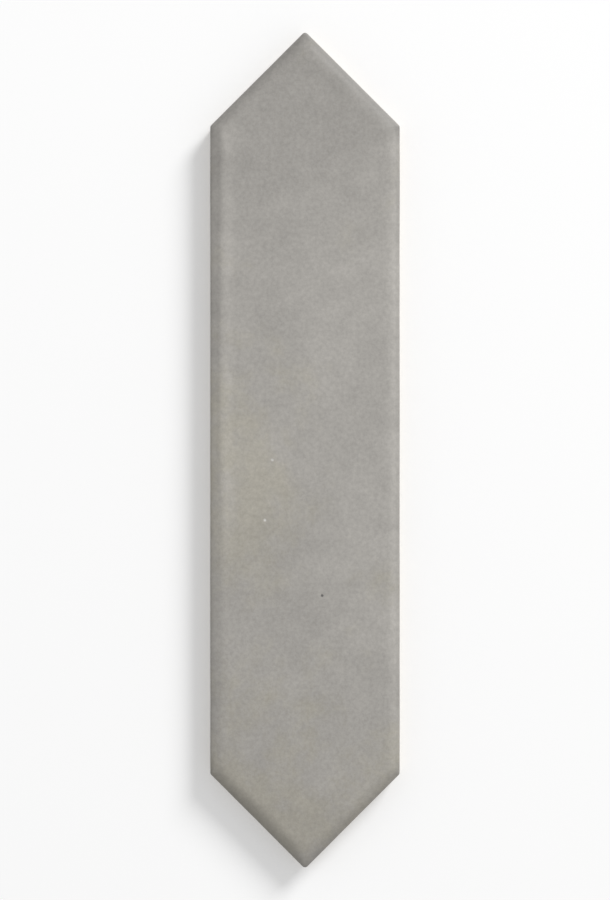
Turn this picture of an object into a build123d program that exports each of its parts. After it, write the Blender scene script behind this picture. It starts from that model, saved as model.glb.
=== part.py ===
from build123d import *
import os
from math import ceil, cos, radians, sin, tan

# Picket tile: a long hexagon of pressed ceramic with a glazed, cushion-edged face and a keyed back.
# It is one fired piece. It lies on its back, with the origin at the middle of the back,
# +Y along the tile and +Z out of the glazed face. All sizes are millimetres.

# Outline, at the widest line round the tile
tile_width = 63.5
tile_length = 279.4  # over the rounded points
point_angle = 90.0  # between the two edges that meet at a point
corner_radius = 1.2

# Section through the edge
tile_thickness = 9.0
nose_radius = 1.2  # turns the side wall over into the face
cushion_radius = 10.5  # the long soft fall of the face towards its edge
cushion_angle = 28.0  # steepest slope of that fall, where the nose takes over
flat_corner_radius = 6.0  # the corners grow rounder from the edge up to the flat of the face
wall_draft = 1.5  # the side walls lean in towards the back
arris_chamfer = 0.6  # round the back

# Keys pressed into the back for the adhesive
key_columns = 3
key_rim = 5.0  # plain border, in from the widest line
key_rib = 2.4
key_corner = 1.5
key_depth = 0.8
key_draft = 30.0
smallest_key = 0.15  # share of a whole key below which one that is cut off is left out

# How finely the edge's section is followed
nose_steps = 6
cushion_steps = 10

half_point = radians(point_angle / 2)


def sharp_point_y(inset):
    """Where the edges of the upper point would meet, drawn in from the widest line by inset."""
    rounded_off = corner_radius * (1 / sin(half_point) - 1)
    return tile_length / 2 + rounded_off - inset / sin(half_point)


def picket_outline(inset, radius):
    """The tile's hexagon, drawn in from the widest line by inset, with its corners rounded."""
    point_y = sharp_point_y(inset)
    shoulder_x = tile_width / 2 - inset
    shoulder_y = point_y - shoulder_x / tan(half_point)
    with BuildSketch() as outline:
        with BuildLine():
            FilletPolyline(
                (0, point_y),
                (-shoulder_x, shoulder_y),
                (-shoulder_x, -shoulder_y),
                (0, -point_y),
                (shoulder_x, -shoulder_y),
                (shoulder_x, shoulder_y),
                radius=radius,
                close=True,
            )
        make_face()
    return outline.sketch


def edge_section():
    """The edge as (inset, height) pairs, from the top of the side wall to the flat of the face."""
    steepest = radians(cushion_angle)
    section = []
    for step in range(nose_steps):
        slope = radians(90) + (steepest - radians(90)) * step / nose_steps
        section.append((nose_radius * (1 - sin(slope)), nose_radius * cos(slope)))
    nose_end = (nose_radius * (1 - sin(steepest)), nose_radius * cos(steepest))
    for step in range(cushion_steps + 1):
        slope = steepest * (1 - step / cushion_steps)
        inset = nose_end[0] + cushion_radius * (sin(steepest) - sin(slope))
        height = nose_end[1] + cushion_radius * (cos(slope) - cos(steepest))
        section.append((inset, height))
    return section


section = edge_section()
flat_inset, edge_height = section[-1]
wall_height = tile_thickness - edge_height
wall_lean = wall_height * tan(radians(wall_draft))

key_size = (tile_width - 2 * key_rim - (key_columns - 1) * key_rib) / key_columns
key_pitch = key_size + key_rib
key_rows = 2 * ceil(tile_length / 2 / key_pitch)  # even, so that a rib crosses the middle
border_point_y = sharp_point_y(key_rim)
border_half_width = border_point_y * tan(half_point)

# The keys, as the die's raised squares, cut off where the plain border runs along the points
with BuildPart() as keys:
    with BuildSketch():
        with GridLocations(key_pitch, key_pitch, key_columns, key_rows):
            RectangleRounded(key_size, key_size, key_corner)
    extrude(amount=key_depth, taper=key_draft)
    with BuildSketch():
        Polygon(
            (border_half_width, 0),
            (0, border_point_y),
            (-border_half_width, 0),
            (0, -border_point_y),
        )
    extrude(amount=key_depth, taper=key_draft, mode=Mode.INTERSECT)

whole_key = keys.solids().sort_by(SortBy.VOLUME)[-1].volume
large_enough = keys.solids().filter_by(lambda key: key.volume > smallest_key * whole_key)

with BuildPart() as picket_tile:
    # Side wall, from the chamfer round the back out to the widest line
    with BuildSketch(Plane.XY):
        add(picket_outline(wall_lean + arris_chamfer, corner_radius))
    with BuildSketch(Plane.XY.offset(arris_chamfer)):
        add(picket_outline(wall_lean * (1 - arris_chamfer / wall_height), corner_radius))
    with BuildSketch(Plane.XY.offset(wall_height)):
        add(picket_outline(0, corner_radius))
    loft(ruled=True)

    # Nose and cushion, from the widest line up to the flat of the face
    for inset, height in section:
        radius = corner_radius + (flat_corner_radius - corner_radius) * inset / flat_inset
        with BuildSketch(Plane.XY.offset(wall_height + height)):
            add(picket_outline(inset, radius))
    loft()

    # Keys, sunk into the back
    add(large_enough, mode=Mode.SUBTRACT)

picket_tile.part.label = "picket_tile"

os.makedirs("parts", exist_ok=True)
export_step(picket_tile.part, "parts/picket_tile.step")
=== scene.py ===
import math
import bpy
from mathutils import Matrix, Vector


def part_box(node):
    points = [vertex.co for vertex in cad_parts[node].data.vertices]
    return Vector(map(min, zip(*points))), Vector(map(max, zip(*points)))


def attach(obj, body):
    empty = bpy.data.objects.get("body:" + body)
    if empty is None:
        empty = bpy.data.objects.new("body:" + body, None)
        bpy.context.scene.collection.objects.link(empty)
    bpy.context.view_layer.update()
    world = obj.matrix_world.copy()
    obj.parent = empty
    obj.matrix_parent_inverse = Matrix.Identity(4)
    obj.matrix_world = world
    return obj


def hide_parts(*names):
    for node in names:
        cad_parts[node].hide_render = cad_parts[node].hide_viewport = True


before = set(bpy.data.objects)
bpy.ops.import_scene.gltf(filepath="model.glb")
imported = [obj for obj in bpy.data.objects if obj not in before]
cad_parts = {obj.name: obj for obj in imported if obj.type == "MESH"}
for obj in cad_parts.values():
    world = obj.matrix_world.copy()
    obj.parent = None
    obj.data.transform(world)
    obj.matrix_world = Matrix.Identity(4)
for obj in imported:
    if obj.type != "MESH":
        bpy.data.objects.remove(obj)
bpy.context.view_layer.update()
tileLow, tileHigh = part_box("picket_tile")
tileSize = tileHigh - tileLow
mm = 0.001
print("frame loaded, tile is", [round(side / mm, 1) for side in tileSize], "mm")


# Helpers for node trees

def putNode(tree, kind, sockets=None, **settings):
    node = tree.nodes.new(kind)
    for name, value in settings.items():
        setattr(node, name, value)
    for name, value in (sockets or {}).items():
        if isinstance(value, bpy.types.NodeSocket):
            tree.links.new(value, node.inputs[name])
        else:
            node.inputs[name].default_value = value
    return node


def calc(tree, operation, first, second=0.0, third=0.0):
    sockets = {0: first, 1: second, 2: third}
    return putNode(tree, "ShaderNodeMath", sockets, operation=operation).outputs[0]


def calcInt(tree, operation, first, second):
    sockets = {0: first, 1: second}
    return putNode(tree, "FunctionNodeIntegerMath", sockets, operation=operation).outputs[0]


def sameInt(tree, first, second):
    sockets = {2: first, 3: second}
    node = putNode(tree, "FunctionNodeCompare", sockets, data_type="INT", operation="EQUAL")
    return node.outputs[0]


def calcVector(tree, operation, first, second=None, scale=None):
    sockets = {0: first}
    if second is not None:
        sockets[1] = second
    if scale is not None:
        sockets["Scale"] = scale
    return putNode(tree, "ShaderNodeVectorMath", sockets, operation=operation).outputs[0]


def lengthOf(tree, vector):
    node = putNode(tree, "ShaderNodeVectorMath", {0: vector}, operation="LENGTH")
    return node.outputs["Value"]


def splitVector(tree, vector):
    return putNode(tree, "ShaderNodeSeparateXYZ", {0: vector}).outputs


def joinVector(tree, x=0.0, y=0.0, z=0.0):
    return putNode(tree, "ShaderNodeCombineXYZ", {"X": x, "Y": y, "Z": z}).outputs[0]


def ramp(tree, value, low, high, toLow=0.0, toHigh=1.0, smooth=True):
    sockets = {"Value": value, "From Min": low, "From Max": high, "To Min": toLow, "To Max": toHigh}
    kind = "SMOOTHSTEP" if smooth else "LINEAR"
    node = putNode(tree, "ShaderNodeMapRange", sockets, interpolation_type=kind, clamp=True)
    return node.outputs[0]


def noiseValue(tree, vector, perMetre, detail, seed, distortion=0.0, roughness=0.5):
    sockets = {
        "Vector": vector,
        "W": seed,
        "Scale": perMetre,
        "Detail": detail,
        "Roughness": roughness,
        "Distortion": distortion,
    }
    return putNode(tree, "ShaderNodeTexNoise", sockets, noise_dimensions="4D").outputs[0]


def namedValue(tree, name, dataType):
    node = putNode(tree, "GeometryNodeInputNamedAttribute", {"Name": name}, data_type=dataType)
    return node.outputs[0]


def storeNamed(tree, geometry, name, value, dataType):
    sockets = {"Geometry": geometry, "Name": name, "Value": value}
    node = putNode(tree, "GeometryNodeStoreNamedAttribute", sockets, data_type=dataType, domain="POINT")
    return node.outputs[0]


def movePoints(tree, geometry, **sockets):
    return putNode(tree, "GeometryNodeSetPosition", {"Geometry": geometry, **sockets}).outputs[0]


def newTree(name, inputs, outputs, kind="GeometryNodeTree"):
    tree = bpy.data.node_groups.new(name, kind)
    for label, socketType in inputs:
        tree.interface.new_socket(label, in_out="INPUT", socket_type="NodeSocket" + socketType)
    for label, socketType in outputs:
        tree.interface.new_socket(label, in_out="OUTPUT", socket_type="NodeSocket" + socketType)
    source = tree.nodes.new("NodeGroupInput").outputs
    sink = tree.nodes.new("NodeGroupOutput").inputs
    return tree, source, sink


# The ring tree: a closed outline drawn in and raised station by station, and joined into a skin

mergeDistance = 0.002 * mm


def cornerLoop(name, corners, cuts):
    # Each corner also holds its mitre: how it moves for each unit that the outline is drawn in.
    mesh = bpy.data.meshes.new(name)
    mesh.from_pydata([(x, y, 0.0) for x, y in corners], [], [])
    mesh.attributes.new("mitre", "FLOAT_VECTOR", "POINT")
    mesh.attributes.new("cuts", "INT", "POINT")
    for place, corner in enumerate(corners):
        here = Vector(corner)
        before = (here - Vector(corners[place - 1])).normalized()
        after = (Vector(corners[(place + 1) % len(corners)]) - here).normalized()
        inBefore = Vector((-before.y, before.x))
        inAfter = Vector((-after.y, after.x))
        mitre = (inBefore + inAfter) / (1.0 + inBefore.dot(inAfter))
        mesh.attributes["mitre"].data[place].vector = (mitre.x, mitre.y, 0.0)
        mesh.attributes["cuts"].data[place].value = cuts[place]
    loop = bpy.data.objects.new(name, mesh)
    bpy.context.collection.objects.link(loop)
    return loop


def sectionLine(name, stations):
    # A station is (how far in, corner radius, height).
    mesh = bpy.data.meshes.new(name)
    mesh.from_pydata(stations, [], [])
    line = bpy.data.objects.new(name, mesh)
    bpy.context.collection.objects.link(line)
    return line


def ringTree():
    inputs = [("Outline", "Object"), ("Section", "Object"), ("Corner Points", "Int"), ("Close End", "Bool")]
    tree, source, sink = newTree("roundedRings", inputs, [("Mesh", "Geometry")])
    outline, section = [
        putNode(tree, "GeometryNodeObjectInfo", {"Object": source[label]}).outputs["Geometry"]
        for label in ("Outline", "Section")
    ]
    corners, stations = [
        putNode(tree, "GeometryNodeAttributeDomainSize", {0: points}, component="MESH").outputs[0]
        for points in (outline, section)
    ]
    index = putNode(tree, "GeometryNodeInputIndex").outputs[0]
    position = putNode(tree, "GeometryNodeInputPosition").outputs[0]

    def sample(geometry, value, at, dataType):
        sockets = {"Geometry": geometry, "Value": value, "Index": at}
        node = putNode(tree, "GeometryNodeSampleIndex", sockets, data_type=dataType, domain="POINT")
        return node.outputs[0]

    # One straight-sided loop for each station
    circle = putNode(tree, "GeometryNodeCurvePrimitiveCircle", {"Resolution": corners}, mode="RADIUS")
    copies = {"Geometry": circle.outputs[0], "Amount": stations}
    rings = putNode(tree, "GeometryNodeDuplicateElements", copies, domain="SPLINE")
    ringNumber = rings.outputs["Duplicate Index"]
    drawIn, radius, height = splitVector(tree, sample(section, position, ringNumber, "FLOAT_VECTOR"))
    corner = calcInt(tree, "MODULO", index, corners)
    cornerPlace = sample(outline, position, corner, "FLOAT_VECTOR")
    mitre = sample(outline, namedValue(tree, "mitre", "FLOAT_VECTOR"), corner, "FLOAT_VECTOR")
    drawnIn = calcVector(tree, "ADD", cornerPlace, calcVector(tree, "SCALE", mitre, scale=drawIn))
    place = calcVector(tree, "ADD", drawnIn, joinVector(tree, z=height))
    loops = movePoints(tree, rings.outputs[0], Position=place)

    # Corners rounded, long sides divided
    cornerCuts = sample(outline, namedValue(tree, "cuts", "INT"), corner, "INT")
    noted = storeNamed(tree, loops, "cuts", cornerCuts, "INT")
    filletSockets = {"Curve": noted, "Count": source["Corner Points"], "Radius": radius}
    rounded = putNode(tree, "GeometryNodeFilletCurve", filletSockets, mode="POLY").outputs[0]
    perCorner = calcInt(tree, "ADD", source["Corner Points"], 1)
    isLast = sameInt(tree, calcInt(tree, "MODULO", index, perCorner), source["Corner Points"])
    cuts = calcInt(tree, "MULTIPLY", namedValue(tree, "cuts", "INT"), isLast)
    divided = putNode(tree, "GeometryNodeSubdivideCurve", {"Curve": rounded, "Cuts": cuts}).outputs[0]

    # A grid takes the rings' points: columns run round the outline, rows along the section
    size = putNode(tree, "GeometryNodeAttributeDomainSize", {0: divided}, component="CURVE")
    around = calcInt(tree, "DIVIDE", size.outputs["Point Count"], stations)
    gridSize = {"Vertices X": calcInt(tree, "ADD", around, 1), "Vertices Y": stations}
    grid = putNode(tree, "GeometryNodeMeshGrid", gridSize).outputs[0]
    ring = calcInt(tree, "MODULO", index, stations)
    column = calcInt(tree, "MODULO", calcInt(tree, "DIVIDE_FLOOR", index, stations), around)
    onRing = calcInt(tree, "ADD", calcInt(tree, "MULTIPLY", ring, around), column)
    skin = movePoints(tree, grid, Position=sample(divided, position, onRing, "FLOAT_VECTOR"))
    inset = splitVector(tree, sample(section, position, ring, "FLOAT_VECTOR"))[0]
    skin = storeNamed(tree, skin, "inset", inset, "FLOAT")

    # Flat caps on the first ring and, where asked for, the last. Fill Curve lays them at height 0.
    def cap(which):
        picked = {0: divided, 1: sameInt(tree, ringNumber, which)}
        one = putNode(tree, "GeometryNodeSeparateGeometry", picked, domain="CURVE").outputs[0]
        filled = putNode(tree, "GeometryNodeFillCurve", {0: one}, mode="NGONS").outputs[0]
        rise = splitVector(tree, sample(section, position, which, "FLOAT_VECTOR"))[2]
        return movePoints(tree, filled, Offset=joinVector(tree, z=rise))

    bottom = putNode(tree, "GeometryNodeFlipFaces", {0: cap(0)}).outputs[0]
    topSockets = {"Switch": source["Close End"], "True": cap(calcInt(tree, "SUBTRACT", stations, 1))}
    top = putNode(tree, "GeometryNodeSwitch", topSockets, input_type="GEOMETRY").outputs[0]
    whole = putNode(tree, "GeometryNodeJoinGeometry")
    for part in (top, bottom, skin):
        tree.links.new(part, whole.inputs[0])
    mergeSockets = {"Geometry": whole.outputs[0], "Distance": mergeDistance}
    merged = putNode(tree, "GeometryNodeMergeByDistance", mergeSockets)
    tree.links.new(merged.outputs[0], sink["Mesh"])
    return tree


roundedRings = ringTree()
print("ring tree made")


# The tile: a cushion-edged shell with its hand-made unevenness, and the keys sunk into its back

tile = {
    # Outline and edge
    "pointAngle": 90.0,
    "cornerRadius": 1.2 * mm,
    "flatCornerRadius": 6.0 * mm,
    "noseRadius": 1.2 * mm,
    "cushionRadius": 10.5 * mm,
    "cushionAngle": 28.0,
    "wallDraft": 1.5,
    "arris": 0.6 * mm,
    # Keys pressed into the back
    "keyColumns": 3,
    "keyRim": 5.0 * mm,
    "keyRib": 2.4 * mm,
    "keyCorner": 1.5 * mm,
    "keyDepth": 0.8 * mm,
    "keyDraft": 30.0,
    "keyLip": 0.25 * mm,
    # The swell inside the face's edge: slimness outside and inside its crest, and its strength
    "swellHeight": 0.38 * mm,
    "swellInset": 3.2 * mm,
    "swellSkew": 0.6 * mm,
    "swellOuterSlimness": 2.5,
    "swellInnerSlimness": 1.3,
    "swellDrift": 0.5 * mm,
    "swellsPerMetre": 16.0,
    "swellShare": 0.35,
    "swellSide": 0.35,
    "swellEnd": 0.65,
    "swellVariation": 0.15,
    "swellLeast": 0.05,
    # Ripples and dimples of the face, and the outline's wander
    "rippleHeight": 0.10 * mm,
    "ripplesPerMetre": 34.0,
    "dimpleHeight": 0.02 * mm,
    "dimplesPerMetre": 120.0,
    "edgeWander": 0.10 * mm,
    "wandersPerMetre": 45.0,
    "noiseDetail": 1.5,
    "noiseSpread": 0.25,
    "seed": 7.3,
    # Fineness of the mesh
    "cornerPoints": 6,
    "longCuts": 160,
    "shortCuts": 40,
    "arrisRings": 4,
    "wallRings": 5,
    "noseRings": 6,
    "cushionRings": 14,
    "flatRings": 26,
    "keyCornerPoints": 5,
    "keyLipRings": 4,
    "innerRounding": 0.9,  # corner radius on the flat, as a share of what is left of the width
    "leastRadius": 0.001 * mm,
    "cutterFlare": 0.3 * mm,  # how the key cutter widens below the back
    "cutterOverrun": 0.1 * mm,
    "crispAngle": 32.0,
}

halfPoint = math.radians(tile["pointAngle"] / 2)

# The tile tree's inputs that come straight from the dictionary: label, socket type and value's name
tileInputs = [
    ("Corner Points", "Int", "cornerPoints"),
    ("Key Corner Points", "Int", "keyCornerPoints"),
    ("Key Columns", "Int", "keyColumns"),
    ("Swell Height", "Float", "swellHeight"),
    ("Swell Inset", "Float", "swellInset"),
    ("Swell Skew", "Float", "swellSkew"),
    ("Swell Outer Slimness", "Float", "swellOuterSlimness"),
    ("Swell Inner Slimness", "Float", "swellInnerSlimness"),
    ("Swell Drift", "Float", "swellDrift"),
    ("Swell Scale", "Float", "swellsPerMetre"),
    ("Swell Share", "Float", "swellShare"),
    ("Swell Side", "Float", "swellSide"),
    ("Swell End", "Float", "swellEnd"),
    ("Swell Variation", "Float", "swellVariation"),
    ("Swell Least", "Float", "swellLeast"),
    ("Ripple Height", "Float", "rippleHeight"),
    ("Ripple Scale", "Float", "ripplesPerMetre"),
    ("Dimple Height", "Float", "dimpleHeight"),
    ("Dimple Scale", "Float", "dimplesPerMetre"),
    ("Edge Wander", "Float", "edgeWander"),
    ("Wander Scale", "Float", "wandersPerMetre"),
    ("Seed", "Float", "seed"),
]


def sharpPointY(inset):
    # Where the edges of the upper point would meet, drawn in by inset
    roundedOff = tile["cornerRadius"] * (1 / math.sin(halfPoint) - 1)
    return tileSize.y / 2 + roundedOff - inset / math.sin(halfPoint)


def picketCorners():
    halfWidth = tileSize.x / 2
    pointY = sharpPointY(0.0)
    shoulderY = pointY - halfWidth / math.tan(halfPoint)
    corners = [
        (halfWidth, -shoulderY),
        (halfWidth, shoulderY),
        (0.0, pointY),
        (-halfWidth, shoulderY),
        (-halfWidth, -shoulderY),
        (0.0, -pointY),
    ]
    cuts = [tile["longCuts"], tile["shortCuts"], tile["shortCuts"]] * 2
    return corners, cuts


def picketSection():
    # From the back's arris up the wall, over the nose and the cushion, and in to the middle
    steepest = math.radians(tile["cushionAngle"])
    nose = tile["noseRadius"]
    cushion = tile["cushionRadius"]
    noseInset = nose * (1 - math.sin(steepest))
    noseRise = nose * math.cos(steepest)
    flatInset = noseInset + cushion * math.sin(steepest)
    wallHeight = tileSize.z - noseRise - cushion * (1 - math.cos(steepest))
    lean = math.tan(math.radians(tile["wallDraft"]))
    arris = tile["arris"]
    corner = tile["cornerRadius"]
    stations = []
    for ring in range(tile["arrisRings"]):
        turn = math.pi / 2 * ring / tile["arrisRings"]
        height = arris * (1 - math.cos(turn))
        inset = (wallHeight - height) * lean + arris * (1 - math.sin(turn))
        stations.append((inset, corner, height))
    for ring in range(tile["wallRings"]):
        height = arris + (wallHeight - arris) * ring / tile["wallRings"]
        stations.append(((wallHeight - height) * lean, corner, height))

    def edgeStation(inset, rise):
        radius = corner + (tile["flatCornerRadius"] - corner) * inset / flatInset
        stations.append((inset, radius, wallHeight + rise))

    for ring in range(tile["noseRings"]):
        slope = math.pi / 2 + (steepest - math.pi / 2) * ring / tile["noseRings"]
        edgeStation(nose * (1 - math.sin(slope)), nose * math.cos(slope))
    for ring in range(tile["cushionRings"] + 1):
        slope = steepest * (1 - ring / tile["cushionRings"])
        inset = noseInset + cushion * (math.sin(steepest) - math.sin(slope))
        edgeStation(inset, noseRise + cushion * (math.cos(slope) - math.cos(steepest)))
    halfWidth = tileSize.x / 2
    for ring in range(1, tile["flatRings"] + 1):
        inset = flatInset + (halfWidth - flatInset) * ring / tile["flatRings"]
        radius = min(tile["flatCornerRadius"], tile["innerRounding"] * (halfWidth - inset))
        stations.append((inset, radius + tile["leastRadius"], tileSize.z))
    return stations, wallHeight


def keySection(topHeight):
    # The cutter's skirt below the back, the softened lip at the back's plane, the drafted wall,
    # and the softened floor at topHeight
    draft = math.radians(tile["keyDraft"])
    turn = math.pi / 2 - draft
    soft = tile["keyLip"]
    reach = soft * math.tan(turn / 2)
    corner = tile["keyCorner"]
    rings = tile["keyLipRings"]
    stations = []
    for step in range(1, rings + 1):
        slope = turn * step / rings
        stations.append((soft * math.sin(slope) - reach, corner, soft * (1 - math.cos(slope))))
    lipInset, lipRadius, lipHeight = stations[0]
    skirt = (lipInset - tile["cutterFlare"], corner, lipHeight - tile["cutterOverrun"])
    stations.insert(0, skirt)
    for step in range(rings, -1, -1):
        slope = turn * step / rings
        inset = topHeight * math.tan(draft) + reach - soft * math.sin(slope)
        stations.append((inset, corner, topHeight - soft * (1 - math.cos(slope))))
    return stations


def borderSection():
    # The same lip and wall, carried on past the keys' floor
    lipAndWall = keySection(tile["keyDepth"])[:tile["keyLipRings"] + 1]
    return lipAndWall + [keySection(2 * tile["keyDepth"])[-1]]


def keyLayout():
    borderY = sharpPointY(tile["keyRim"])
    borderX = borderY * math.tan(halfPoint)
    across = tileSize.x - 2 * tile["keyRim"] - (tile["keyColumns"] - 1) * tile["keyRib"]
    half = across / tile["keyColumns"] / 2
    pitch = 2 * half + tile["keyRib"]
    square = [(half, -half), (half, half), (-half, half), (-half, -half)]
    border = [(borderX, 0.0), (0.0, borderY), (-borderX, 0.0), (0.0, -borderY)]
    rows = 2 * int(borderY / pitch)  # even, so that a rib crosses the middle
    return square, border, pitch, rows


def uneven(tree, source, scaleLabel, seedStep):
    # Noise about zero, from -1 to 1. The seed steps keep one pattern apart from another.
    seed = calc(tree, "ADD", source["Seed"], seedStep)
    place = putNode(tree, "GeometryNodeInputPosition").outputs[0]
    noise = noiseValue(tree, place, source[scaleLabel], tile["noiseDetail"], seed)
    low = 0.5 - tile["noiseSpread"]
    high = 0.5 + tile["noiseSpread"]
    return ramp(tree, noise, low, high, -1.0, 1.0, smooth=False)


def swayOutline(tree, source, shell):
    # The outline strays a little, inwards of its true line
    sway = calc(tree, "SUBTRACT", uneven(tree, source, "Wander Scale", 1.0), 1.0)
    sway = calc(tree, "MULTIPLY", calc(tree, "MULTIPLY", sway, source["Edge Wander"]), 0.5)
    position = putNode(tree, "GeometryNodeInputPosition").outputs[0]
    height = splitVector(tree, position)[2]
    sway = calc(tree, "MULTIPLY", sway, ramp(tree, height, 0.0, source["Wall Height"]))
    normal = putNode(tree, "GeometryNodeInputNormal").outputs[0]
    return movePoints(tree, shell, Offset=calcVector(tree, "SCALE", normal, scale=sway))


def swellRelief(tree, source, across, along):
    # A low swell that follows the face's edge, with a bell-shaped section about its crest
    inset = namedValue(tree, "inset", "FLOAT")
    skew = calc(tree, "MULTIPLY", source["Swell Skew"], -1.0)
    crest = calc(tree, "MULTIPLY_ADD", across, skew, source["Swell Inset"])
    drift = uneven(tree, source, "Swell Scale", 5.0)
    crest = calc(tree, "MULTIPLY_ADD", drift, source["Swell Drift"], crest)
    fromCrest = calc(tree, "SUBTRACT", calc(tree, "DIVIDE", inset, crest), 1.0)
    outside = calc(tree, "MINIMUM", fromCrest, 0.0)
    outside = calc(tree, "MULTIPLY", outside, source["Swell Outer Slimness"])
    inside = calc(tree, "MAXIMUM", fromCrest, 0.0)
    inside = calc(tree, "MULTIPLY", inside, source["Swell Inner Slimness"])
    reach = calc(tree, "SUBTRACT", inside, outside)
    fall = calc(tree, "MULTIPLY", calc(tree, "MULTIPLY", reach, reach), -1.0)
    bell = calc(tree, "EXPONENT", fall)

    # It is fuller along the left side, and more so towards that side's upper end
    leftness = calc(tree, "MAXIMUM", calc(tree, "MULTIPLY", across, -1.0), 0.0)
    fuller = calc(tree, "MULTIPLY_ADD", along, source["Swell End"], source["Swell Side"])
    strength = calc(tree, "MULTIPLY_ADD", leftness, fuller, source["Swell Share"])
    variation = uneven(tree, source, "Swell Scale", 2.0)
    strength = calc(tree, "MULTIPLY_ADD", variation, source["Swell Variation"], strength)
    strength = calc(tree, "MAXIMUM", strength, source["Swell Least"])
    return calc(tree, "MULTIPLY", calc(tree, "MULTIPLY", bell, strength), source["Swell Height"])


def shapeFace(tree, source, shell):
    # The face is dished a little inside its swell, and ripples gently. Its highest point stays level.
    position = putNode(tree, "GeometryNodeInputPosition").outputs[0]
    height = splitVector(tree, position)[2]
    thickness = splitVector(tree, source["Size"])[2]
    halfSize = calcVector(tree, "SCALE", source["Size"], scale=0.5)
    share = splitVector(tree, calcVector(tree, "DIVIDE", position, halfSize))
    swell = swellRelief(tree, source, share[0], share[1])
    ripple = calc(tree, "MULTIPLY", uneven(tree, source, "Ripple Scale", 3.0), source["Ripple Height"])
    dimple = calc(tree, "MULTIPLY", uneven(tree, source, "Dimple Scale", 4.0), source["Dimple Height"])
    relief = calc(tree, "ADD", swell, calc(tree, "ADD", ripple, dimple))
    raised = {"Geometry": shell, 2: calc(tree, "ADD", height, relief)}
    statistic = putNode(tree, "GeometryNodeAttributeStatistic", raised, data_type="FLOAT", domain="POINT")
    overshoot = calc(tree, "SUBTRACT", statistic.outputs["Max"], thickness)
    onFace = ramp(tree, height, source["Wall Height"], thickness)
    lift = calc(tree, "MULTIPLY", calc(tree, "SUBTRACT", relief, overshoot), onFace)
    return movePoints(tree, shell, Offset=joinVector(tree, z=lift))


def sinkKeys(tree, source, shell, key, border):
    # Keys on a grid, cut off by the border along the points
    spans = []
    for label in ("Key Columns", "Key Rows"):
        steps = calc(tree, "SUBTRACT", source[label], 1.0)
        spans.append(calc(tree, "MULTIPLY", steps, source["Key Pitch"]))
    gridSockets = {
        "Size X": spans[0],
        "Size Y": spans[1],
        "Vertices X": source["Key Columns"],
        "Vertices Y": source["Key Rows"],
    }
    grid = putNode(tree, "GeometryNodeMeshGrid", gridSockets).outputs[0]
    placed = putNode(tree, "GeometryNodeInstanceOnPoints", {"Points": grid, "Instance": key}).outputs[0]
    allKeys = putNode(tree, "GeometryNodeRealizeInstances", {0: placed}).outputs[0]
    cutKeys = putNode(tree, "GeometryNodeMeshBoolean", operation="INTERSECT", solver="MANIFOLD")
    tree.links.new(allKeys, cutKeys.inputs["Mesh 2"])
    tree.links.new(border, cutKeys.inputs["Mesh 2"])
    keyed = putNode(tree, "GeometryNodeMeshBoolean", operation="DIFFERENCE", solver="MANIFOLD")
    tree.links.new(shell, keyed.inputs["Mesh 1"])
    tree.links.new(cutKeys.outputs[0], keyed.inputs["Mesh 2"])
    return keyed.outputs[0]


def shadeSmoothly(tree, mesh):
    # Smooth all over, but an edge that turns by more than the crisp angle stays crisp
    smoothSockets = {"Geometry": mesh, "Shade Smooth": True}
    smooth = putNode(tree, "GeometryNodeSetShadeSmooth", smoothSockets, domain="FACE").outputs[0]
    angle = putNode(tree, "GeometryNodeInputMeshEdgeAngle").outputs[0]
    angles = {0: angle, 1: math.radians(tile["crispAngle"])}
    crisp = putNode(tree, "FunctionNodeCompare", angles, data_type="FLOAT", operation="GREATER_THAN")
    crispSockets = {"Geometry": smooth, "Selection": crisp.outputs[0], "Shade Smooth": False}
    return putNode(tree, "GeometryNodeSetShadeSmooth", crispSockets, domain="EDGE").outputs[0]


def tileTree():
    inputs = [(label, socketType) for label, socketType, name in tileInputs] + [
        ("Outline", "Object"), ("Section", "Object"),
        ("Key Outline", "Object"), ("Key Section", "Object"),
        ("Border Outline", "Object"), ("Border Section", "Object"),
        ("Size", "Vector"), ("Wall Height", "Float"),
        ("Key Pitch", "Float"), ("Key Rows", "Int"), ("Finish", "Material"),
    ]
    tree, source, sink = newTree("picketTile", inputs, [("Mesh", "Geometry")])

    def rings(outline, section, cornerPoints, closeEnd):
        sockets = {
            "Outline": source[outline],
            "Section": source[section],
            "Corner Points": source[cornerPoints],
            "Close End": closeEnd,
        }
        return putNode(tree, "GeometryNodeGroup", sockets, node_tree=roundedRings).outputs[0]

    shell = rings("Outline", "Section", "Corner Points", False)
    key = rings("Key Outline", "Key Section", "Key Corner Points", True)
    border = rings("Border Outline", "Border Section", "Key Corner Points", True)
    shell = swayOutline(tree, source, shell)
    shell = shapeFace(tree, source, shell)
    shaded = shadeSmoothly(tree, sinkKeys(tree, source, shell, key, border))
    whole = putNode(tree, "GeometryNodeRealizeInstances", {0: shaded}).outputs[0]
    finishSockets = {"Geometry": whole, "Material": source["Finish"]}
    finished = putNode(tree, "GeometryNodeSetMaterial", finishSockets)
    tree.links.new(finished.outputs[0], sink["Mesh"])
    return tree


def meshFromTree(name, tree, values):
    # The tree runs once on an empty mesh, and its result is kept as a plain mesh.
    host = bpy.data.objects.new(name, bpy.data.meshes.new(name + "Host"))
    bpy.context.collection.objects.link(host)
    modifier = host.modifiers.new("nodes", "NODES")
    modifier.node_group = tree
    for item in tree.interface.items_tree:
        if item.item_type == "SOCKET" and item.in_out == "INPUT":
            modifier[item.identifier] = values[item.name]
    evaluated = host.evaluated_get(bpy.context.evaluated_depsgraph_get())
    mesh = bpy.data.meshes.new_from_object(evaluated)
    host.modifiers.remove(modifier)
    host.data = mesh
    mesh.name = name
    return host


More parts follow.
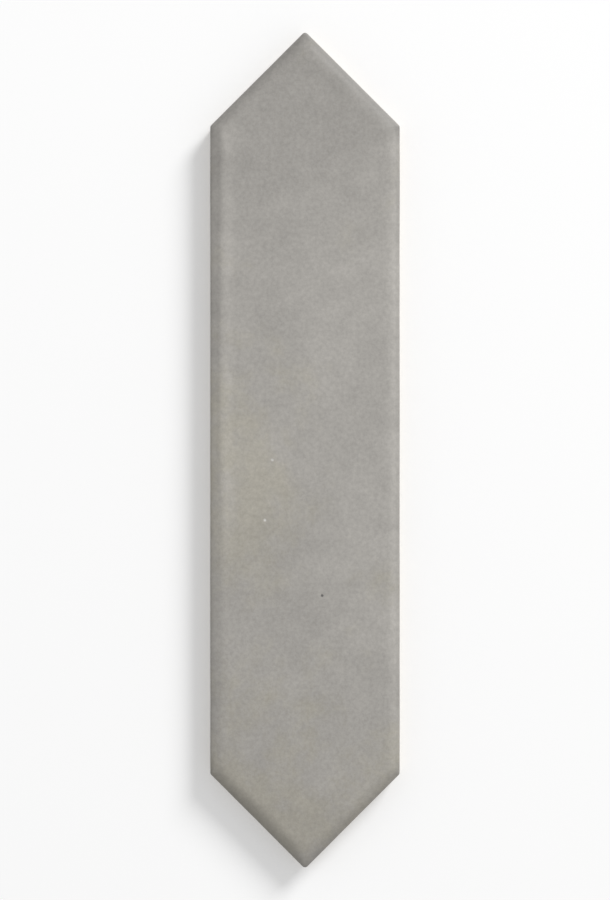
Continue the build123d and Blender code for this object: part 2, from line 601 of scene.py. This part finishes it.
def makeTile(finish):
    corners, cuts = picketCorners()
    stations, wallHeight = picketSection()
    square, borderCorners, pitch, rows = keyLayout()
    helpers = {
        "Outline": cornerLoop("picketOutline", corners, cuts),
        "Section": sectionLine("edgeSection", stations),
        "Key Outline": cornerLoop("keyOutline", square, [0] * 4),
        "Key Section": sectionLine("keyLipSection", keySection(tile["keyDepth"])),
        "Border Outline": cornerLoop("borderOutline", borderCorners, [0] * 4),
        "Border Section": sectionLine("borderLipSection", borderSection()),
    }
    values = {label: tile[name] for label, socketType, name in tileInputs}
    values.update(helpers)
    values.update({
        "Size": tileSize,
        "Wall Height": wallHeight,
        "Key Pitch": pitch,
        "Key Rows": rows,
        "Finish": finish,
    })
    piece = meshFromTree("glazedTile", tileTree(), values)
    for helper in helpers.values():
        bpy.data.meshes.remove(helper.data)
    return piece


# Finishes

# A pattern's tone runs from half its depth below the plain colour to half above.
glaze = {
    "colour": (0.354, 0.3375, 0.3093),
    # The seeds of the clouds and tints lay them about where the photographed tile has them
    "clouds": {"perMetre": 34.0, "detail": 4.0, "distortion": 0.5, "seed": 6.12},
    "cloudSpread": 0.20,
    "cloudDepth": 0.125,
    "blotches": {"perMetre": 150.0, "detail": 3.0, "distortion": 0.2, "seed": 2.0},
    "blotchSpread": 0.20,
    "blotchDepth": 0.08,
    "grain": {"perMetre": 700.0, "detail": 2.0, "seed": 3.0},
    "grainSpread": 0.25,
    "grainDepth": 0.15,
    "speckle": {"perMetre": 1800.0, "detail": 1.0, "seed": 6.0},
    "speckleSpread": 0.25,
    "speckleDepth": 0.09,
    # From the warm tint, where the noise is low, to the cool one
    "tints": {"perMetre": 13.0, "detail": 6.0, "distortion": 0.3, "roughness": 0.72, "seed": 27.56},
    "tintRange": (0.38, 0.52),
    "warmTint": (0.996, 0.985, 0.926),
    "coolTint": (0.998, 1.0, 1.0135),
    # Paler to the right and darker towards the points; painted shade along the points' edges and round the
    # rim
    "sideTone": 0.032,
    "upperTipShade": 0.873,
    "upperTipFade": (0.18, 0.44),  # shares of the length, from the middle
    "lowerTipShade": 0.867,
    "lowerTipFade": (-0.02, -0.54),
    "paintedPointEdgeShade": 0.82,
    "paintedPointEdgeFade": (0.5 * mm, 5.0 * mm),
    "paintedRimShade": 0.92,
    "paintedRimFade": (0.6 * mm, 1.8 * mm),
    # Painted light: a paler band on the left side's swell, on its slope that faces the light, and its
    # extent as shares of the width and length
    "paintedRidgeLight": 0.067,
    "paintedLightInset": 5.5 * mm,
    "paintedLightFade": (1.0 * mm, 3.3 * mm),
    "paintedLightAcross": (-0.45, -0.15),
    "paintedLightAlong": (-0.18, -0.02),
    # Pinholes: x, y and radius in mm, and tone
    "pinholes": [(-10.9, -3.3, 0.50, 0.54), (-13.4, -23.4, 0.50, 0.58), (5.7, -48.6, 0.50, 0.09)],
    "pinholeTint": (1.0, 0.98, 0.93),
    "pinholeFade": (0.3, 1.4),  # in radii
    "pinholeRags": {"perMetre": 2600.0, "detail": 1.0, "seed": 7.0},
    "pinholeRaggedness": 0.25 * mm,
    "pinholeDepth": 0.05 * mm,
    # Gloss and fine relief
    "roughness": 0.56,
    "blotchRoughness": 0.04,
    "grainRoughness": 0.03,
    "peel": {"perMetre": 260.0, "detail": 1.0, "seed": 5.0},
    "peelHeight": 0.010 * mm,
    "grainHeight": 0.004 * mm,
    # Where it ends, in runs down the side wall
    "thickness": 0.12 * mm,
    "dipHeight": 3.4 * mm,
    "dipWander": 1.6 * mm,
    "dipSoftness": 0.15 * mm,
    "runs": {"perMetre": 75.0, "detail": 3.0, "seed": 21.0},
    "runStretch": 0.25,
}

# The shades are those at the low and high ends of the noise.
biscuit = {
    "colour": (0.62, 0.555, 0.46),
    "grain": {"perMetre": 900.0, "detail": 3.0, "seed": 11.0},
    "grainShade": (0.86, 1.02),
    "grainHeight": 0.03 * mm,
    "clouds": {"perMetre": 60.0, "detail": 2.0, "seed": 12.0},
    "cloudShade": (0.95, 1.05),
    "specks": {"perMetre": 1300.0, "detail": 1.0, "seed": 13.0},
    "speckRange": (0.70, 0.76),
    "speckColour": (0.30, 0.23, 0.17),
    "roughness": 0.92,
}


def mixColour(tree, factor, first, second, blend="MIX"):
    node = putNode(tree, "ShaderNodeMix", {0: factor}, data_type="RGBA", blend_type=blend)
    for socket, value in ((node.inputs[6], first), (node.inputs[7], second)):
        if isinstance(value, bpy.types.NodeSocket):
            tree.links.new(value, socket)
        else:
            socket.default_value = (*value, 1.0)
    return node.outputs[2]


def mixValue(tree, factor, first, second):
    sockets = {0: factor, 2: first, 3: second}
    return putNode(tree, "ShaderNodeMix", sockets, data_type="FLOAT").outputs[0]


def shaded(tree, colour, shade):
    grey = joinVector(tree, shade, shade, shade)
    return mixColour(tree, 1.0, colour, grey, "MULTIPLY")


def lookTree(name):
    outputs = [("Colour", "Color"), ("Roughness", "Float"), ("Height", "Float")]
    return newTree(name, [("Place", "Vector")], outputs, "ShaderNodeTree")


def glazePattern(tree, place, look, spread):
    # From -1 to 1
    noise = noiseValue(tree, place, **look)
    return ramp(tree, noise, 0.5 - spread, 0.5 + spread, -1.0, 1.0)


def sharesOf(length, shares):
    return [share * length for share in shares]


def toneAndPaintedLight(tree, place):
    # Tone that varies over the tile, with painted shade along the edges and painted light on the left swell
    x, y, z = splitVector(tree, place)
    sideways = calc(tree, "ABSOLUTE", x)
    along = calc(tree, "ABSOLUTE", y)
    drift = calc(tree, "MULTIPLY_ADD", x, glaze["sideTone"] / (tileSize.x / 2), 1.0)
    upper = ramp(tree, y, *sharesOf(tileSize.y, glaze["upperTipFade"]), 1.0, glaze["upperTipShade"])
    lower = ramp(tree, y, *sharesOf(tileSize.y, glaze["lowerTipFade"]), 1.0, glaze["lowerTipShade"])
    shade = calc(tree, "MULTIPLY", calc(tree, "MULTIPLY", upper, lower), drift)

    toTip = calc(tree, "SUBTRACT", tileSize.y / 2, along)
    fromTip = calc(tree, "MULTIPLY", toTip, math.sin(halfPoint))
    fromTipEdge = calc(tree, "MULTIPLY_ADD", sideways, -math.cos(halfPoint), fromTip)
    # Painted shade along the points' edges
    pointEdgePaintedShade = ramp(tree, fromTipEdge, *glaze["paintedPointEdgeFade"], glaze["paintedPointEdgeShade"], 1.0)
    shade = calc(tree, "MULTIPLY", shade, pointEdgePaintedShade)
    fromSide = calc(tree, "SUBTRACT", tileSize.x / 2, sideways)
    fromEdge = calc(tree, "MINIMUM", fromSide, fromTipEdge)
    # Painted shade round the rim
    rimPaintedShade = ramp(tree, fromEdge, *glaze["paintedRimFade"], glaze["paintedRimShade"], 1.0)
    shade = calc(tree, "MULTIPLY", shade, rimPaintedShade)

    # Painted light: a paler band inside the left side's swell, on the slope that faces the light
    offPaintedLight = calc(tree, "ABSOLUTE", calc(tree, "SUBTRACT", fromEdge, glaze["paintedLightInset"]))
    paintedLightBand = ramp(tree, offPaintedLight, *glaze["paintedLightFade"], 1.0, 0.0)
    paintedLightLeft = ramp(tree, x, *sharesOf(tileSize.x, glaze["paintedLightAcross"]), 1.0, 0.0)
    paintedLightUpper = ramp(tree, y, *sharesOf(tileSize.y, glaze["paintedLightAlong"]))
    paintedLightBand = calc(tree, "MULTIPLY", paintedLightBand, calc(tree, "MULTIPLY", paintedLightLeft, paintedLightUpper))
    return calc(tree, "MULTIPLY", shade, calc(tree, "MULTIPLY_ADD", paintedLightBand, glaze["paintedRidgeLight"], 1.0))


def addPinholes(tree, place, colour, relief):
    # Pinholes fired into the glaze, with ragged edges
    flat = calcVector(tree, "MULTIPLY", place, (1.0, 1.0, 0.0))
    rags = noiseValue(tree, place, **glaze["pinholeRags"])
    ragged = calc(tree, "MULTIPLY", rags, 2 * glaze["pinholeRaggedness"])
    for x, y, radius, tone in glaze["pinholes"]:
        away = lengthOf(tree, calcVector(tree, "SUBTRACT", flat, (x * mm, y * mm, 0.0)))
        away = calc(tree, "ADD", calc(tree, "SUBTRACT", away, glaze["pinholeRaggedness"]), ragged)
        core, lip = sharesOf(radius * mm, glaze["pinholeFade"])
        hole = ramp(tree, away, core, lip, 1.0, 0.0)
        inner = [tone * part for part in glaze["pinholeTint"]]
        colour = mixColour(tree, hole, colour, inner)
        relief = calc(tree, "MULTIPLY_ADD", hole, -glaze["pinholeDepth"], relief)
    return colour, relief


def glazeTree():
    tree, source, sink = lookTree("glazeLook")
    place = source["Place"]
    clouds = glazePattern(tree, place, glaze["clouds"], glaze["cloudSpread"])
    blotches = glazePattern(tree, place, glaze["blotches"], glaze["blotchSpread"])
    grain = glazePattern(tree, place, glaze["grain"], glaze["grainSpread"])
    speckle = glazePattern(tree, place, glaze["speckle"], glaze["speckleSpread"])
    patterns = [
        (clouds, glaze["cloudDepth"]),
        (blotches, glaze["blotchDepth"]),
        (grain, glaze["grainDepth"]),
        (speckle, glaze["speckleDepth"]),
    ]
    shade = toneAndPaintedLight(tree, place)
    for pattern, depth in patterns:
        shade = calc(tree, "MULTIPLY", shade, calc(tree, "MULTIPLY_ADD", pattern, depth / 2, 1.0))

    hue = ramp(tree, noiseValue(tree, place, **glaze["tints"]), *glaze["tintRange"])
    tint = mixColour(tree, hue, glaze["warmTint"], glaze["coolTint"])
    tinted = mixColour(tree, 1.0, glaze["colour"], tint, "MULTIPLY")
    colour = shaded(tree, tinted, shade)

    rough = calc(tree, "MULTIPLY_ADD", blotches, glaze["blotchRoughness"], glaze["roughness"])
    rough = calc(tree, "MULTIPLY_ADD", grain, glaze["grainRoughness"], rough)
    peel = noiseValue(tree, place, **glaze["peel"])
    relief = calc(tree, "MULTIPLY", peel, 2 * glaze["peelHeight"])
    relief = calc(tree, "MULTIPLY_ADD", grain, glaze["grainHeight"], relief)
    colour, relief = addPinholes(tree, place, colour, relief)
    tree.links.new(colour, sink["Colour"])
    tree.links.new(rough, sink["Roughness"])
    tree.links.new(relief, sink["Height"])
    return tree


def biscuitTree():
    tree, source, sink = lookTree("biscuitLook")
    place = source["Place"]
    grain = noiseValue(tree, place, **biscuit["grain"])
    clouds = noiseValue(tree, place, **biscuit["clouds"])
    grainLow, grainHigh = biscuit["grainShade"]
    cloudLow, cloudHigh = biscuit["cloudShade"]
    shade = calc(tree, "MULTIPLY_ADD", grain, grainHigh - grainLow, grainLow)
    cloudShade = calc(tree, "MULTIPLY_ADD", clouds, cloudHigh - cloudLow, cloudLow)
    body = shaded(tree, biscuit["colour"], calc(tree, "MULTIPLY", shade, cloudShade))
    specks = ramp(tree, noiseValue(tree, place, **biscuit["specks"]), *biscuit["speckRange"])
    tree.links.new(mixColour(tree, specks, body, biscuit["speckColour"]), sink["Colour"])
    sink["Roughness"].default_value = biscuit["roughness"]
    tree.links.new(calc(tree, "MULTIPLY", grain, biscuit["grainHeight"]), sink["Height"])
    return tree


def tileFinish():
    material = bpy.data.materials.new("satinGlazeOnBiscuit")
    material.use_nodes = True
    tree = material.node_tree
    tree.nodes.clear()
    place = putNode(tree, "ShaderNodeTexCoord").outputs["Object"]
    glazed = putNode(tree, "ShaderNodeGroup", {"Place": place}, node_tree=glazeTree()).outputs
    bare = putNode(tree, "ShaderNodeGroup", {"Place": place}, node_tree=biscuitTree()).outputs

    # The glaze ends in an uneven line down the side wall
    height = splitVector(tree, place)[2]
    stretch = {"Vector": place, "Scale": (1.0, 1.0, glaze["runStretch"])}
    stretched = putNode(tree, "ShaderNodeMapping", stretch).outputs[0]
    runs = noiseValue(tree, stretched, **glaze["runs"])
    lowest = glaze["dipHeight"] - glaze["dipWander"]
    line = calc(tree, "MULTIPLY_ADD", runs, 2 * glaze["dipWander"], lowest)
    above = calc(tree, "SUBTRACT", height, line)
    cover = ramp(tree, above, -glaze["dipSoftness"], glaze["dipSoftness"])
    glazeTop = calc(tree, "ADD", glazed["Height"], glaze["thickness"])
    bumpSockets = {
        "Height": mixValue(tree, cover, bare["Height"], glazeTop),
        "Strength": 1.0,
        "Distance": 1.0,
    }
    shaderSockets = {
        "Base Color": mixColour(tree, cover, bare["Colour"], glazed["Colour"]),
        "Roughness": mixValue(tree, cover, bare["Roughness"], glazed["Roughness"]),
        "Normal": putNode(tree, "ShaderNodeBump", bumpSockets).outputs[0],
    }
    shader = putNode(tree, "ShaderNodeBsdfPrincipled", shaderSockets)
    output = tree.nodes.new("ShaderNodeOutputMaterial")
    tree.links.new(shader.outputs[0], output.inputs["Surface"])
    return material


satinGlaze = tileFinish()
print("glaze and biscuit made")

tilePiece = makeTile(satinGlaze)
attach(tilePiece, "root")
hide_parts("picket_tile")
print("tile made,", len(tilePiece.data.polygons), "faces")


# Floor, light and camera

white = (1.0, 1.0, 1.0, 1.0)

studio = {
    "floorSize": 6.0,
    "floorColour": (0.82, 0.82, 0.82),
    "floorGlow": 0.16,
    "floorFade": (0.35, 1.2),
    "ambient": 0.61,
    "keyShare": 0.39,
    "keyDistance": 4.6,
    "keyTurn": 51.0,
    "keyRise": 27.0,
    "keySize": 1.8,
    "tileShareOfFrame": 0.93,
    "lens": 100.0,
    "sensor": 36.0,
}


def seenDirectly(tree):
    # 1 for rays from the camera and for those mirrored or let through, so that gloss shows
    # the backdrop too
    path = putNode(tree, "ShaderNodeLightPath").outputs
    seen = calc(tree, "MAXIMUM", path["Is Camera Ray"], path["Is Glossy Ray"])
    return calc(tree, "MAXIMUM", seen, path["Is Transmission Ray"])


def layFloor():
    half = studio["floorSize"] / 2
    corners = [(-half, -half, 0), (half, -half, 0), (half, half, 0), (-half, half, 0)]
    mesh = bpy.data.meshes.new("floor")
    mesh.from_pydata(corners, [], [(0, 1, 2, 3)])
    floor = bpy.data.objects.new("floor", mesh)
    bpy.context.collection.objects.link(floor)
    material = bpy.data.materials.new("paleFloor")
    material.use_nodes = True
    tree = material.node_tree
    tree.nodes.clear()
    floorColour = (*studio["floorColour"], 1.0)
    matt = putNode(tree, "ShaderNodeBsdfDiffuse", {"Color": floorColour}).outputs[0]
    # The floor fades to the white of the background away from the tile
    away = lengthOf(tree, putNode(tree, "ShaderNodeTexCoord").outputs["Object"])
    strength = ramp(tree, away, *studio["floorFade"], studio["floorGlow"], 1.0)
    glowSockets = {"Color": white, "Strength": calc(tree, "MULTIPLY", seenDirectly(tree), strength)}
    glow = putNode(tree, "ShaderNodeEmission", glowSockets).outputs[0]
    both = putNode(tree, "ShaderNodeAddShader", {0: matt, 1: glow}).outputs[0]
    output = tree.nodes.new("ShaderNodeOutputMaterial")
    tree.links.new(both, output.inputs["Surface"])
    mesh.materials.append(material)


def lightStudio():
    scene = bpy.context.scene
    world = bpy.data.worlds.new("studio")
    world.use_nodes = True
    tree = world.node_tree
    tree.nodes.clear()
    strength = mixValue(tree, seenDirectly(tree), studio["ambient"], 1.0)
    sky = putNode(tree, "ShaderNodeBackground", {"Color": white, "Strength": strength}).outputs[0]
    output = tree.nodes.new("ShaderNodeOutputWorld")
    tree.links.new(sky, output.inputs["Surface"])
    scene.world = world
    # The key lamp's power is set so that, with the ambient light, a level colour renders
    # as it is written
    rise = math.radians(studio["keyRise"])
    turn = math.radians(studio["keyTurn"])
    distance = studio["keyDistance"]
    level = math.cos(rise)
    towards = Vector((level * math.cos(turn), level * math.sin(turn), math.sin(rise)))
    lamp = bpy.data.lights.new("keyLight", "AREA")
    lamp.shape = "DISK"
    lamp.size = studio["keySize"]
    lamp.energy = studio["keyShare"] * (math.pi * distance) ** 2 / math.sin(rise)
    key = bpy.data.objects.new("keyLight", lamp)
    key.location = towards * distance
    key.rotation_euler = towards.to_track_quat("Z", "Y").to_euler()
    bpy.context.collection.objects.link(key)


def placeCamera():
    camera = bpy.data.cameras.new("camera")
    camera.lens = studio["lens"]
    camera.sensor_width = studio["sensor"]
    frameHeight = tileSize.y / studio["tileShareOfFrame"]
    eye = bpy.data.objects.new("camera", camera)
    eye.location = (0.0, 0.0, tileSize.z + frameHeight * studio["lens"] / studio["sensor"])
    bpy.context.collection.objects.link(eye)
    bpy.context.scene.camera = eye


layFloor()
lightStudio()
placeCamera()
bpy.context.scene.view_settings.view_transform = "Standard"
print("floor, light and camera set")
